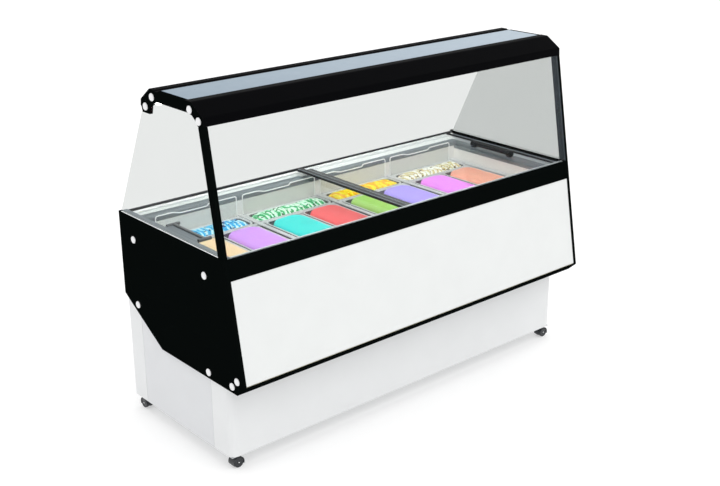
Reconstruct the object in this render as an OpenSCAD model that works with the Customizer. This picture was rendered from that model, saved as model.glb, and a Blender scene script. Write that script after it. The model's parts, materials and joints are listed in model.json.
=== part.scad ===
// Ice-cream display chest freezer on castors.
// Millimetres, +Z up, +X to the right seen from the customer's side, customers stand at -Y.
// The origin is the middle of the footprint at floor level.

/* [Overall] */
// Width over the two black side panels
overall_w = 1660; // [1560:10:1760]
// Depth from the nose of the front to the back panel
overall_d = 731; // [725:1:740]
// Height of the top edge of the side panels
panel_top = 782; // [778:1:786]
// Height of the canopy top
canopy_top = 1263; // [1250:1:1280]

/* [Front] */
// Lean of the front face and front glass from the vertical, in degrees
lean = 10.06; // [9:0.01:11]
// Height of the foremost edge of the front, above the chamfer
nose_z = 359; // [355:1:363]
// Height of the chamfer under the nose
nose_drop = 34; // [30:1:36]
// Depth of the chamfer under the nose
nose_run = 38; // [34:1:42]
// Height of the black band across the top of the front
band_h = 70; // [60:1:80]

/* [Base] */
// Ground clearance of the base
base_z = 52; // [52:1:52]
// Setback of the base front behind the nose
base_setback = 108.5; // [100:0.5:115]
// Radius of the two front corners of the base
corner_r = 28; // [20:1:34]
// Thickness of the folded sheet steel
sheet_t = 2; // [1.5:0.5:2]

/* [Side panels and posts] */
// Thickness of the side panels and posts
panel_t = 14; // [12:1:14]
// Width of the posts, front to back
post_w = 35; // [32:1:38]
// Thickness of the front and side glass
glass_t = 6; // [5:1:6]
// Diameter of a screw cap
cap_d = 26; // [20:1:28]

/* [Well and lids] */
// Half width of the well
well_hw = 765; // [700:5:765]
// Front wall of the well
well_front = -236; // [-238:1:-230]
// Back wall of the well
well_back = 284; // [276:1:285]
// Floor of the well
well_floor = 520; // [515:1:530]
// Length of one sliding lid
lid_len = 829; // [829:1:829]

/* [Pans] */
// Height of the pan rims
pan_top = 678; // [676:1:680]
// Length of a front pan
pan_l = 360; // [340:5:360]
// Width of a front pan
pan_w = 165; // [160:1:165]
// Depth of a pan
pan_h = 120; // [100:5:125]
// Pitch of the groups of three pans
group_pitch = 372; // [368:1:372]

/* [Castors] */
// Radius of a castor wheel
wheel_r = 19; // [19:1:19]
// Offset of the wheel behind its swivel
trail = 8; // [7:1:8]

/* [Hidden] */
$fn = 48;

// Half sizes of the whole freezer and of the body between the side panels
half_w = overall_w / 2;
half_d = overall_d / 2;
body_hw = half_w - panel_t;
base_front = -half_d + base_setback;

// Heights in the body
collar_top = panel_top - 24;
collar_h = 23;
collar_bottom = collar_top - collar_h;
machine_top = 436;
chamfer_z = nose_z - nose_drop;
chamfer_y = -half_d + nose_run;
band_bottom = panel_top - band_h;
wrap_return = -153;
back_return = 283;
side_back = half_d - 3.5;

// Collar opening and the ends of the lids, front to back
collar_in_hw = well_hw + 12;
collar_in_front = well_front - 4;
collar_in_back = well_back + 9;
lid_front = -268;
lid_back = 341;
coil_gap = 10;
rail_hw = body_hw - 4.5;

// Heights of the two lids: the left lid runs under the right lid
lid_frame_h = 9.6;
lid_low_z = collar_top + 0.4;
lid_high_z = lid_low_z + 12;
lid_glass_t = 4;
lid_left_x = -rail_hw;
lid_right_x = -50;
lid_inner_frame_w = 24;
lid_outer_trim_w = 6;
handle_y = 14;
left_handle_x = -762;
right_handle_x = 710;

// Canopy sheet outline, seen from the side
canopy_sheet = 2.5;
canopy_front_y = -151;
canopy_back_y = 93;
canopy_under_z = canopy_top - 39;
hood_lip_z = canopy_top - 68;
hood_edge_y = -118;
rail_edge_y = 42;
strip_t = 5;
strip_z = canopy_top - 1 - strip_t;

// Pans
pan_r = 26;
pan_wall = 1.5;
pan_flange = 9;
pan_rail_z = pan_top - 12;
front_pan_y = -20;
rear_pan_l = 350;
rear_pan_w = 104;
rear_pan_y = 219;
front_pan_offset = 85.5;
group_x = [for (i = [-1.5:1:1.5]) i * group_pitch];

// Machine compartment
fan_x = 575;
fan_y = 262;
fan_z = 210;
fan_r = 92;
box_x = -560;
box_z = 250;
knob_x = box_x + 45;
switch_x = box_x - 45;
face_depth = 13;
switch_tip = 6;
switch_depth = 4;
pin_r = 2;
gland_x = -700;
gland_z = 110;
drain_x = -300;
drain_y = 200;
drain_z = 110;

// Castor swivels: the front wheels trail to the right and the back wheels trail backwards
castor_x = 787;
castor_front_y = -228;
castor_back_y = 330;
wheel_x = 10.5;
wheel_w = 12;
plate_t = 2.5;
fork_top = base_z - plate_t - 0.3;
stem_r = 4;
axle_r = 3;
running_gap = 0.05;

colour_black = [0.05, 0.05, 0.055];
colour_white = [0.93, 0.935, 0.94];
colour_steel = [0.55, 0.58, 0.6];
colour_dark = [0.16, 0.17, 0.18];
colour_glass = [0.82, 0.88, 0.86, 0.35];

// Front face of the body at height z, set back by depth
function front_y(z, depth = 0) = -half_d + (z - nose_z) * tan(lean) + depth;

function unit(v) = v / norm(v);
function left_normal(a, b) = let (d = unit(b - a)) [-d[1], d[0]];
function mitre(p, i, t) =
    i == 0 ? p[0] + t * left_normal(p[0], p[1]) :
    i == len(p) - 1 ? p[i] + t * left_normal(p[i - 1], p[i]) :
    let (n1 = left_normal(p[i - 1], p[i]), m = unit(n1 + left_normal(p[i], p[i + 1])))
    p[i] + m * t / (m * n1);

// Closed outline of a sheet of thickness t bent along the points p, thickened to their left
function sheet_outline(p, t) = concat(p, [for (i = [len(p) - 1:-1:0]) mitre(p, i, t)]);

// Plate with its outline in the YZ plane, from x0 to x1
module yz_plate(outline, x0, x1) {
    translate([x0, 0, 0]) rotate([90, 0, 90]) linear_extrude(x1 - x0) polygon(outline);
}

// Box between two corners
module block(low, high) {
    translate(low) cube(high - low);
}

module rounded_rect(w, l, r) {
    square([w - 2 * r, l], center = true);
    square([w, l - 2 * r], center = true);
    for (sx = [-1, 1], sy = [-1, 1]) {
        translate([sx * (w / 2 - r), sy * (l / 2 - r)]) circle(r);
    }
}

// Cylinder along X or Y, centred on its place
module rod_x(r, l) { rotate([0, 90, 0]) cylinder(r = r, h = l, center = true); }
module rod_y(r, l) { rotate([90, 0, 0]) cylinder(r = r, h = l, center = true); }

// ---- Base cabinet ----

// Outline of the base with rounded front corners, inset by d
module base_outline(d) {
    w = body_hw - d;
    r = corner_r - d;
    front = base_front + d;
    translate([-w, front + r]) square([2 * w, wrap_return - front - r]);
    translate([-w + r, front]) square([2 * (w - r), r + 1]);
    for (s = [-1, 1]) {
        translate([s * (w - r), front + r]) circle(r);
    }
}

module cabinet_front_wrap() {
    color(colour_white) translate([0, 0, base_z]) linear_extrude(machine_top - base_z - 1)
        difference() {
            base_outline(0);
            base_outline(sheet_t);
            translate([-body_hw + sheet_t, wrap_return - 5]) square([2 * (body_hw - sheet_t), 10]);
        }
}

module cabinet_side(s) {
    x0 = s > 0 ? body_hw - sheet_t : -body_hw;
    color(colour_white)
        block([x0, wrap_return + 0.8, base_z], [x0 + sheet_t, back_return - 0.8, collar_top]);
}

// Back panel folded round both rear corners, with the openings for the grille,
// the control box, the cable gland and the drain
module cabinet_back() {
    color(colour_white) difference() {
        block([-body_hw, back_return, base_z], [body_hw, half_d, collar_top]);
        block([-body_hw + sheet_t, back_return - 1, base_z - 1],
              [body_hw - sheet_t, half_d - sheet_t, collar_top + 1]);
        block([fan_x - 130, half_d - 10, fan_z - 120], [fan_x + 130, half_d + 1, fan_z + 120]);
        block([box_x - 90, half_d - 10, box_z - 50], [box_x + 90, half_d + 1, box_z + 50]);
        translate([gland_x, half_d, gland_z]) rod_y(11, 20);
        translate([drain_x, half_d, drain_z]) rod_y(14, 20);
    }
}

// Base tray with a turned-up edge along both ends
module cabinet_floor() {
    color("lightgrey") {
        block([-body_hw + sheet_t, base_front + corner_r, base_z],
              [body_hw - sheet_t, half_d - sheet_t, base_z + 3]);
        block([-body_hw + corner_r, base_front + sheet_t, base_z],
              [body_hw - corner_r, base_front + corner_r + 1, base_z + 3]);
        for (s = [-1, 1]) {
            translate([s * (body_hw - sheet_t - 3), 0, 0])
                block([-1.5, base_front + corner_r, base_z], [1.5, back_return - 3, base_z + 25]);
        }
    }
}

// ---- Insulated tank ----

module foam_body() {
    wall = body_hw - sheet_t - 0.5;
    gap = sheet_t + coil_gap;
    outline = [
        [half_d - 4, collar_bottom], [half_d - 4, machine_top],
        [base_front - 0.5, machine_top], [base_front - 0.5, chamfer_z + 3],
        [chamfer_y + 2, chamfer_z + 3], [front_y(nose_z + 2, 5), nose_z + 2],
        [front_y(collar_bottom, 5), collar_bottom]
    ];
    color([0.93, 0.88, 0.7]) difference() {
        yz_plate(outline, -wall, wall);
        block([-well_hw - gap, well_front - gap, well_floor - gap],
              [well_hw + gap, well_back + gap, collar_bottom + 1]);
        translate([drain_x, drain_y, machine_top]) cylinder(r = 12.5, h = 200, center = true);
    }
}

module inner_liner() {
    color([0.87, 0.86, 0.83]) difference() {
        block([-well_hw - sheet_t, well_front - sheet_t, well_floor - sheet_t],
              [well_hw + sheet_t, well_back + sheet_t, collar_bottom]);
        block([-well_hw, well_front, well_floor], [well_hw, well_back, collar_bottom + 1]);
    }
}

// Five loops of tube round the liner
module evaporator_coil() {
    tube_r = 3;
    bend = 8;
    cy = (well_front + well_back) / 2;
    hx = well_hw + sheet_t + coil_gap / 2;
    hy = (well_back - well_front) / 2 + sheet_t + coil_gap / 2;
    color([0.72, 0.45, 0.25])
    for (z = [540:40:700]) {
        translate([0, cy, z]) {
            for (s = [-1, 1]) {
                translate([0, s * hy, 0]) rod_x(tube_r, 2 * (hx - bend));
                translate([s * hx, 0, 0]) rod_y(tube_r, 2 * (hy - bend));
            }
            for (q = [0:3]) {
                sx = q == 0 || q == 3 ? 1 : -1;
                sy = q < 2 ? 1 : -1;
                translate([sx * (hx - bend), sy * (hy - bend), 0]) rotate([0, 0, 90 * q])
                    rotate_extrude(angle = 90) translate([bend, 0]) circle(tube_r);
            }
        }
    }
}

// Frame round the mouth of the well. Its ends are turned up beside the lids, and the left end
// is folded level again as a ledge over the left side panel.
module top_collar() {
    edge = body_hw - sheet_t;
    ledge_in = -800;
    ledge_z = panel_top + 0.2;
    lip_front = -277;
    lip_back = 350;
    behind_post = front_y(panel_top, post_w) + 1.5;
    color(colour_steel) {
        difference() {
            block([-edge, front_y(collar_top, 14), collar_bottom],
                  [edge, half_d - sheet_t - 0.5, collar_top]);
            translate([0, (collar_in_front + collar_in_back) / 2, collar_bottom - 1])
                linear_extrude(collar_h + 2)
                    rounded_rect(2 * collar_in_hw, collar_in_back - collar_in_front, 14);
        }
        block([edge - sheet_t, lip_front, collar_top - 1], [edge, lip_back, collar_top + 12]);
        block([-edge, lip_front, collar_top - 1], [-edge + sheet_t, lip_back, ledge_z + 1.8]);
        block([-edge - 1.5, lip_front, ledge_z], [ledge_in, behind_post + 1, ledge_z + 1.8]);
        block([-edge - 5.5, behind_post, ledge_z], [ledge_in, lip_back, ledge_z + 1.8]);
    }
}

// Lid guide with a fin between the two lids; side is -1 at the front and 1 at the back
module lid_rail(side) {
    edge = side < 0 ? lid_front - 1 : lid_back + 1;
    fin_z = lid_low_z + lid_frame_h + 1;
    rail_d = 9;
    fin_d = 8;
    color(colour_steel) {
        block([-rail_hw, min(edge, edge + side * rail_d), collar_top],
              [rail_hw, max(edge, edge + side * rail_d), panel_top - 1]);
        block([-rail_hw, min(edge + side, edge - side * fin_d), fin_z],
              [rail_hw, max(edge + side, edge - side * fin_d), fin_z + 1]);
    }
}

// ---- Front and sides ----

module side_panel(s) {
    outline = [
        [front_y(panel_top), panel_top], [-half_d, nose_z], [chamfer_y, chamfer_z],
        [128, chamfer_z], [side_back, 469], [side_back, panel_top]
    ];
    color(colour_black) yz_plate(outline, s > 0 ? body_hw : -half_w, s > 0 ? half_w : -body_hw);
}

// Sheet along the front face from z0 to z1, between two depths
module front_sheet(z0, z1, depth0, depth1) {
    yz_plate([[front_y(z0, depth0), z0], [front_y(z0, depth1), z0],
              [front_y(z1, depth1), z1], [front_y(z1, depth0), z1]], -body_hw, body_hw);
}

module front_band() {
    color(colour_black) front_sheet(band_bottom, panel_top, 1, 4);
}

module front_panel() {
    color(colour_white) front_sheet(nose_z + 6, band_bottom - 1, 2, 4);
}

// Black trim round the nose: a short lip, the chamfer and a shelf back to the base
module bottom_trim() {
    path = [
        [base_front - 1, chamfer_z], [chamfer_y, chamfer_z],
        [-half_d, nose_z], [front_y(nose_z + 5), nose_z + 5]
    ];
    color(colour_black) yz_plate(sheet_outline(path, -2), -body_hw, body_hw);
}

module post(s) {
    top = hood_lip_z;
    outline = [
        [front_y(panel_top), panel_top], [front_y(top), top],
        [front_y(top - 6, post_w), top - 6], [front_y(panel_top, post_w), panel_top]
    ];
    color(colour_black) yz_plate(outline, s > 0 ? body_hw : -half_w, s > 0 ? half_w : -body_hw);
}

module front_glass() {
    z0 = collar_top + 1;
    z1 = hood_lip_z + 18;
    color(colour_glass)
        yz_plate([[front_y(z0, 6), z0], [front_y(z0, 6 + glass_t), z0],
                  [front_y(z1, 6 + glass_t), z1], [front_y(z1, 6), z1]], -body_hw + 1, body_hw - 1);
}

module side_glass(s) {
    x0 = half_w - panel_t / 2 - glass_t / 2;
    post_z = hood_lip_z - 6;
    outline = [
        [front_y(panel_top, post_w), panel_top], [front_y(post_z, post_w), post_z],
        [-168, canopy_top - 56], [-150, canopy_top - 43], [-124, canopy_under_z],
        [61, canopy_under_z], [92, canopy_top - 59], [99, canopy_top - 86],
        [155, canopy_top - 86], [348, panel_top]
    ];
    color(colour_glass) yz_plate(outline, s > 0 ? x0 : -x0 - glass_t, s > 0 ? x0 + glass_t : -x0);
}

// ---- Canopy ----

hood_path = [
    [hood_edge_y, strip_z], [hood_edge_y, canopy_top], [canopy_front_y, canopy_top],
    [-215, canopy_top - 40.5], [front_y(hood_lip_z), hood_lip_z]
];
rail_path = [
    [153, canopy_top - 66], [150, canopy_top - 43], [canopy_back_y, canopy_top],
    [62, canopy_top], [60, canopy_top - 3], [rail_edge_y, canopy_top - 3]
];

module canopy_hood() {
    color(colour_black) yz_plate(sheet_outline(hood_path, canopy_sheet), -half_w, half_w);
}

module canopy_rear_rail() {
    color(colour_black) yz_plate(sheet_outline(rail_path, canopy_sheet), -half_w, half_w);
}

// End plate under the hood and the rear rail, flush with the top strip between them, with a tab
// hanging down at the rear
module canopy_end(s) {
    lip_y = hood_edge_y - canopy_sheet - 0.5;
    front = hood_edge_y + 0.5;
    back = rail_edge_y - 0.5;
    flush = canopy_top - 1;
    outline = concat(
        [[back, flush], [front, flush], [front, strip_z - 0.5], [lip_y, strip_z - 0.5],
         [lip_y, canopy_top - canopy_sheet]],
        [for (i = [2:4]) mitre(hood_path, i, canopy_sheet)],
        [[front_y(hood_lip_z - 6, post_w), hood_lip_z - 6], [-168, canopy_top - 56],
         [-150, canopy_top - 43], [-124, canopy_under_z], [61, canopy_under_z],
         [92, canopy_top - 59], [99, canopy_top - 86], [144, canopy_top - 86]],
        [for (i = [0:5]) mitre(rail_path, i, canopy_sheet)],
        [[back, canopy_top - 3 - canopy_sheet]]
    );
    color(colour_black) yz_plate(outline, s > 0 ? body_hw : -half_w + 0.5, s > 0 ? half_w - 0.5 : -body_hw);
}

module canopy_top_glass() {
    color([0.64, 0.71, 0.77, 0.8])
        block([-body_hw + 0.5, hood_edge_y + 0.5, strip_z],
              [body_hw - 0.5, rail_edge_y - 0.5, strip_z + strip_t]);
}

// Lamp housing along the canopy, with its diffuser facing down
module led_lamp() {
    lamp = [[66, canopy_top - 40], [72, canopy_top - 54], [96, canopy_top - 54], [104, canopy_top - 40],
            [104, canopy_top - 26], [66, canopy_top - 26]];
    color("whitesmoke") yz_plate(lamp, -body_hw + 4, body_hw - 4);
}

// Screw caps on both sides: six on each panel and four on each canopy end, as [y, z]
cap_places = [
    [270, panel_top - 85], [-171, panel_top - 85], [272, 450], [-166, 349], [-302, 349], [-331, 377],
    [79, canopy_top - 26], [122, canopy_top - 64], [-141, canopy_top - 27], [-189, canopy_top - 55]
];

module cap() {
    rotate([0, 90, 0]) rotate_extrude()
        polygon([[0, 0], [cap_d / 2, 0], [cap_d / 2, 2], [cap_d / 2 - 2, 4], [0, 5]]);
}

module screw_caps() {
    color("white") for (s = [0, 1]) mirror([s, 0, 0])
        for (p = cap_places) translate([half_w, p[0], p[1]]) cap();
}

// ---- Sliding lids ----

// End frames of a lid that starts at x0; inner is 1 where its inner end is the right end
module lid_frame(x0, z0, inner) {
    x_inner = inner > 0 ? x0 + lid_len - lid_inner_frame_w : x0;
    x_outer = inner > 0 ? x0 : x0 + lid_len - lid_outer_trim_w;
    color(colour_dark) difference() {
        union() {
            block([x_inner, lid_front, z0], [x_inner + lid_inner_frame_w, lid_back, z0 + lid_frame_h]);
            block([x_outer, lid_front, z0], [x_outer + lid_outer_trim_w, lid_back, z0 + lid_frame_h]);
        }
        lid_pane(x0, z0);
    }
}

module lid_pane(x0, z0) {
    glass_z = z0 + 2.1;
    block([x0 + 3, lid_front + 2, glass_z], [x0 + lid_len - 3, lid_back - 2, glass_z + lid_glass_t]);
}

module lid_glass(x0, z0) {
    color(colour_glass) lid_pane(x0, z0);
}

// Bar between two cross pieces, carried by a web, with a wing over the finger space beside it
module lid_left_handle() {
    base = lid_low_z + 2.1 + lid_glass_t;
    span = 96;
    web = span - 38;
    wing_low = 13.5;
    wing_high = 16;
    color(colour_dark) translate([left_handle_x, handle_y, base]) {
        for (s = [-1, 1]) translate([0, s * span, 16]) rod_x(6, 52);
        translate([0, 0, 16.5]) rod_y(5.5, 2 * span);
        block([-3, -web, 0], [3, web, 14]);
        block([-32, -span, wing_low], [0, span, wing_high]);
    }
}

// Thick bar with larger ends, close over the glass
module lid_right_handle() {
    base = lid_high_z + 2.1 + lid_glass_t;
    span = 98;
    color(colour_dark) {
        for (s = [-1, 1]) {
            translate([right_handle_x, handle_y + s * span, base]) block([-9, -12, 0], [9, 12, 12]);
            translate([right_handle_x, handle_y + s * span, base + 13]) rod_y(12.5, 30);
        }
        translate([right_handle_x, handle_y, base + 13]) rod_y(9.5, 2 * span);
    }
}

// ---- Pans ----

// Two ledges and a middle bar that carry the pans by 5 mm of their rims
module pan_rails() {
    bearing = 5;
    top = pan_rail_z + 10;
    color(colour_steel) {
        block([-well_hw, well_front, pan_rail_z], [well_hw, front_pan_y - pan_l / 2 + bearing, top]);
        block([-well_hw, front_pan_y + pan_l / 2 - bearing, pan_rail_z],
              [well_hw, rear_pan_y - rear_pan_w / 2 + bearing, top]);
        block([-well_hw, rear_pan_y + rear_pan_w / 2 - bearing, pan_rail_z], [well_hw, well_back, top]);
    }
}

// Bar of this half width on the ledges, from front to back
module divider(x, w) {
    low = pan_rail_z + 10.3;
    block([x - w, well_front + 1, low], [x + w, well_back - 1, low + 3.7]);
}

// Bars between the groups of pans and at both ends of the well
module pan_dividers() {
    color(colour_steel) {
        for (i = [-1:1]) {
            divider(i * group_pitch, 9);
        }
        for (s = [-1, 1]) {
            divider(s * (2 * group_pitch + 5), 14);
        }
    }
}

// Clear guards that stand on the rear ledge against the back wall, one for each group
module pan_guards() {
    low = pan_rail_z + 10.3;
    high = collar_top - 1.5;
    dip = high - 8.5;
    outline = [
        [-174, low], [174, low], [174, high - 10], [160, high], [54, high], [50, dip],
        [-70, dip], [-104, high], [-160, high], [-174, high - 10]
    ];
    color(colour_glass) for (x = group_x)
        translate([x, well_back - 2, 0]) rotate([90, 0, 0]) linear_extrude(3) polygon(outline);
}

// Open pan, its rim at the origin's height
module pan(w, l, r) {
    in_w = w - 2 * pan_flange;
    in_l = l - 2 * pan_flange;
    difference() {
        union() {
            translate([0, 0, -2]) linear_extrude(2) rounded_rect(w, l, r);
            translate([0, 0, -pan_h]) linear_extrude(pan_h - 1)
                rounded_rect(in_w + 2 * pan_wall, in_l + 2 * pan_wall, r - pan_flange + pan_wall);
        }
        translate([0, 0, -pan_h + pan_wall]) linear_extrude(pan_h + 1)
            rounded_rect(in_w, in_l, r - pan_flange);
    }
}

module front_pans() {
    color("silver") for (x = group_x, s = [-1, 1])
        translate([x + s * front_pan_offset, front_pan_y, pan_top]) pan(pan_w, pan_l, pan_r);
}

module rear_pans() {
    color("silver") for (x = group_x)
        translate([x, rear_pan_y, pan_top]) pan(rear_pan_l, rear_pan_w, pan_r);
}

// Plain block of ice cream in a pan of this size, standing this far above the rim
module ice_block(w, l, proud) {
    translate([0, 0, -pan_h + pan_wall + 0.3]) linear_extrude(pan_h - pan_wall - 0.3 + proud)
        rounded_rect(w - 2 * pan_flange - 1, l - 2 * pan_flange - 1, pan_r - pan_flange);
}

module front_ice_cream() {
    shades = ["peachpuff", "plum", "turquoise", "lightcoral", "yellowgreen", "mediumpurple", "violet",
              "lightsalmon"];
    for (g = [0:3], s = [0, 1])
        color(shades[2 * g + s])
            translate([group_x[g] + (2 * s - 1) * front_pan_offset, front_pan_y, pan_top])
                ice_block(pan_w, pan_l, 10);
}

module rear_ice_cream() {
    shades = ["deepskyblue", "aquamarine", "gold", "ivory"];
    for (g = [0:3])
        color(shades[g]) translate([group_x[g], rear_pan_y, pan_top]) ice_block(rear_pan_l, rear_pan_w, 16);
}

// ---- Machine compartment ----

module compressor() {
    color(colour_dark) translate([fan_x - 10, 60, base_z + 3]) {
        rotate_extrude() polygon([[0, 20], [86, 20], [86, 120], [70, 160], [30, 178], [0, 180]]);
        block([-110, -80, 8], [110, 80, 12]);
        for (sx = [-1, 1], sy = [-1, 1]) {
            translate([sx * 92, sy * 64, 0]) cylinder(r = 12, h = 8);
        }
        translate([0, 0, 12]) cylinder(r = 60, h = 9);
    }
}

// Finned block with six tubes through it
module condenser() {
    color("silver") translate([fan_x, fan_y + 58, fan_z]) {
        for (i = [-10:10]) {
            block([i * 11 - 1, -18, -105], [i * 11 + 1, 18, 105]);
        }
        for (i = [-2.5:1:2.5]) {
            translate([0, 0, i * 36]) rod_x(5, 236);
        }
        for (s = [-1, 1]) {
            block([s * 116 - 2, -24, base_z + 3 - fan_z], [s * 116 + 2, 22, 112]);
        }
    }
}

// Square plate with a round mouth and a three-armed carrier for the fan bearing
module fan_shroud() {
    color(colour_dark) translate([fan_x, fan_y, fan_z]) {
        difference() {
            block([-112, 22, -112], [112, 25, 112]);
            rod_y(fan_r + 6, 80);
        }
        for (a = [90:120:330]) {
            rotate([0, a, 0]) block([10, 30, -5], [fan_r + 18, 34, 5]);
            rotate([0, a, 0]) block([fan_r + 10, 24, -5], [fan_r + 18, 34, 5]);
        }
        difference() {
            translate([0, 29, 0]) rod_y(16, 10);
            rod_y(axle_r + running_gap, 100);
        }
    }
}

module fan_rotor() {
    color("dimgray") translate([fan_x, fan_y, fan_z]) {
        translate([0, 8, 0]) rod_y(22, 24);
        translate([0, 20, 0]) rod_y(axle_r, 28);
        for (a = [0:72:288]) {
            rotate([0, a, 0]) translate([20, 8, 0]) rotate([28, 0, 0])
                block([0, -1, -24], [fan_r - 22, 1, 24]);
        }
    }
}

// Frame with slats that fills the rear opening
module vent_grille() {
    color(colour_dark) translate([fan_x, half_d, fan_z]) {
        difference() {
            block([-129, -6, -119], [129, 0, 119]);
            block([-118, -7, -108], [118, 1, 108]);
        }
        for (z = [-99:18:99]) {
            translate([0, -4, z]) rotate([35, 0, 0]) block([-119, -5, -1], [119, 4, 1]);
        }
    }
}

// Box behind the back panel; its face lies in a shallow recess with a bezel round it
module control_box() {
    color(colour_dark) translate([box_x, half_d, box_z]) difference() {
        block([-89, -60, -49], [89, -0.5, 49]);
        block([-80, -face_depth, -40], [80, 1, 40]);
        translate([knob_x - box_x, -face_depth - 12, 0]) rod_y(axle_r + running_gap, 30);
        block([switch_x - box_x - 15, -face_depth - 12, -11], [switch_x - box_x + 15, 0, 11]);
        translate([switch_x - box_x, -face_depth - switch_depth, 0]) rod_x(pin_r + running_gap, 36);
    }
}

// Knob with a pointer groove, on a shaft that turns in the box
module thermostat_knob() {
    color(colour_black) translate([knob_x, half_d - face_depth, box_z]) {
        translate([0, -14, 0]) rotate([-90, 0, 0]) cylinder(r = axle_r, h = 16);
        difference() {
            translate([0, 0.4, 0]) rotate([-90, 0, 0]) cylinder(r1 = 17, r2 = 15, h = 11);
            block([-1, 9.5, 4], [1, 12, 18]);
        }
    }
}

// Rocker on two pins, drawn in its lower position and tipped about them
module power_switch() {
    switch_y = half_d - face_depth - switch_depth;
    color("green") translate([switch_x, switch_y, box_z]) rotate([switch_tip, 0, 0]) {
        block([-14, -6, -10], [14, 7, 10]);
        rod_x(pin_r, 34);
    }
}

// Gland with a free bore for the mains cable
module cable_inlet() {
    color(colour_black) translate([gland_x, half_d - 14, gland_z]) difference() {
        union() {
            rotate([-90, 0, 0]) cylinder(r = 10.5, h = 14);
            rotate([-90, 0, 0]) cylinder(r = 16, h = 11.5);
        }
        rotate([-90, 0, 0]) cylinder(r = 5, h = 40, center = true);
    }
}

// Drain tube from the floor of the well to the back panel
module drain_pipe() {
    rise = well_floor - sheet_t - 1 - drain_z;
    color("gainsboro") translate([drain_x, drain_y, drain_z]) difference() {
        union() {
            translate([0, 0, -12]) cylinder(r = 12, h = rise + 12);
            rotate([-90, 0, 0]) cylinder(r = 12, h = half_d - drain_y);
        }
        translate([0, 10, 0]) rotate([-90, 0, 0]) cylinder(r = 8, h = 200);
    }
}

// ---- Castors ----

module castor_place(sx, back) {
    translate([sx * castor_x, back ? castor_back_y : castor_front_y, 0]) rotate([0, 0, back ? 180 : 90])
        children();
}

module castor_plates() {
    color(colour_steel) for (sx = [-1, 1], back = [false, true])
        castor_place(sx, back) difference() {
            block([-24, -24, base_z - plate_t], [24, 24, base_z]);
            translate([0, 0, base_z]) cylinder(r = stem_r + running_gap, h = 20, center = true);
        }
}

// Hood over twin wheels, with the swivel stem
module castor_fork() {
    color(colour_dark) difference() {
        union() {
            translate([0, -trail, wheel_r]) rod_x(wheel_r + 3, 34);
            translate([0, 0, 26]) cylinder(r = 9, h = fork_top - 26);
            translate([0, 0, 30]) cylinder(r = stem_r, h = base_z - 30.2);
        }
        for (s = [-1, 1]) {
            translate([s * wheel_x, -trail, wheel_r]) rod_x(wheel_r + 0.7, wheel_w + 1.2);
        }
        translate([0, -trail, wheel_r]) rod_x(axle_r + running_gap, 60);
        block([-30, -trail - 40, -5], [30, 40, wheel_r - 8]);
    }
}

module castor_wheels() {
    color(colour_dark) translate([0, -trail, wheel_r]) {
        for (s = [-1, 1]) {
            translate([s * wheel_x, 0, 0]) rod_x(wheel_r, wheel_w);
        }
        rod_x(axle_r, 2 * wheel_x);
    }
}

cabinet_front_wrap();
cabinet_side(-1);  // cabinet_side_left
cabinet_side(1);  // cabinet_side_right
cabinet_back();
cabinet_floor();
foam_body();
inner_liner();
evaporator_coil();
top_collar();
lid_rail(-1);  // rail_front
lid_rail(1);  // rail_rear
side_panel(-1);  // side_panel_left
side_panel(1);  // side_panel_right
front_band();
front_panel();
bottom_trim();
post(-1);  // post_left
post(1);  // post_right
front_glass();
side_glass(-1);  // side_glass_left
side_glass(1);  // side_glass_right
canopy_end(-1);  // canopy_end_left
canopy_end(1);  // canopy_end_right
canopy_hood();
canopy_rear_rail();
canopy_top_glass();
led_lamp();
screw_caps();
lid_frame(lid_left_x, lid_low_z, 1);  // lid_left_frame
lid_glass(lid_left_x, lid_low_z);  // lid_left_glass
lid_left_handle();
lid_frame(lid_right_x, lid_high_z, -1);  // lid_right_frame
lid_glass(lid_right_x, lid_high_z);  // lid_right_glass
lid_right_handle();
pan_rails();
pan_dividers();
pan_guards();
front_pans();
rear_pans();
front_ice_cream();
rear_ice_cream();
compressor();
condenser();
fan_shroud();
fan_rotor();
vent_grille();
control_box();
thermostat_knob();
power_switch();
cable_inlet();
drain_pipe();
castor_plates();
castor_place(-1, false) castor_fork();  // castor_fork_front_left
castor_place(1, false) castor_fork();  // castor_fork_front_right
castor_place(-1, true) castor_fork();  // castor_fork_back_left
castor_place(1, true) castor_fork();  // castor_fork_back_right
castor_place(-1, false) castor_wheels();  // castor_wheels_front_left
castor_place(1, false) castor_wheels();  // castor_wheels_front_right
castor_place(-1, true) castor_wheels();  // castor_wheels_back_left
castor_place(1, true) castor_wheels();  // castor_wheels_back_right
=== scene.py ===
"""Looks of the ice cream display freezer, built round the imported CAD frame. Metres, +Z up."""
import json
import math

import bmesh
import bpy
from mathutils import Matrix, Vector, noise

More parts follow.
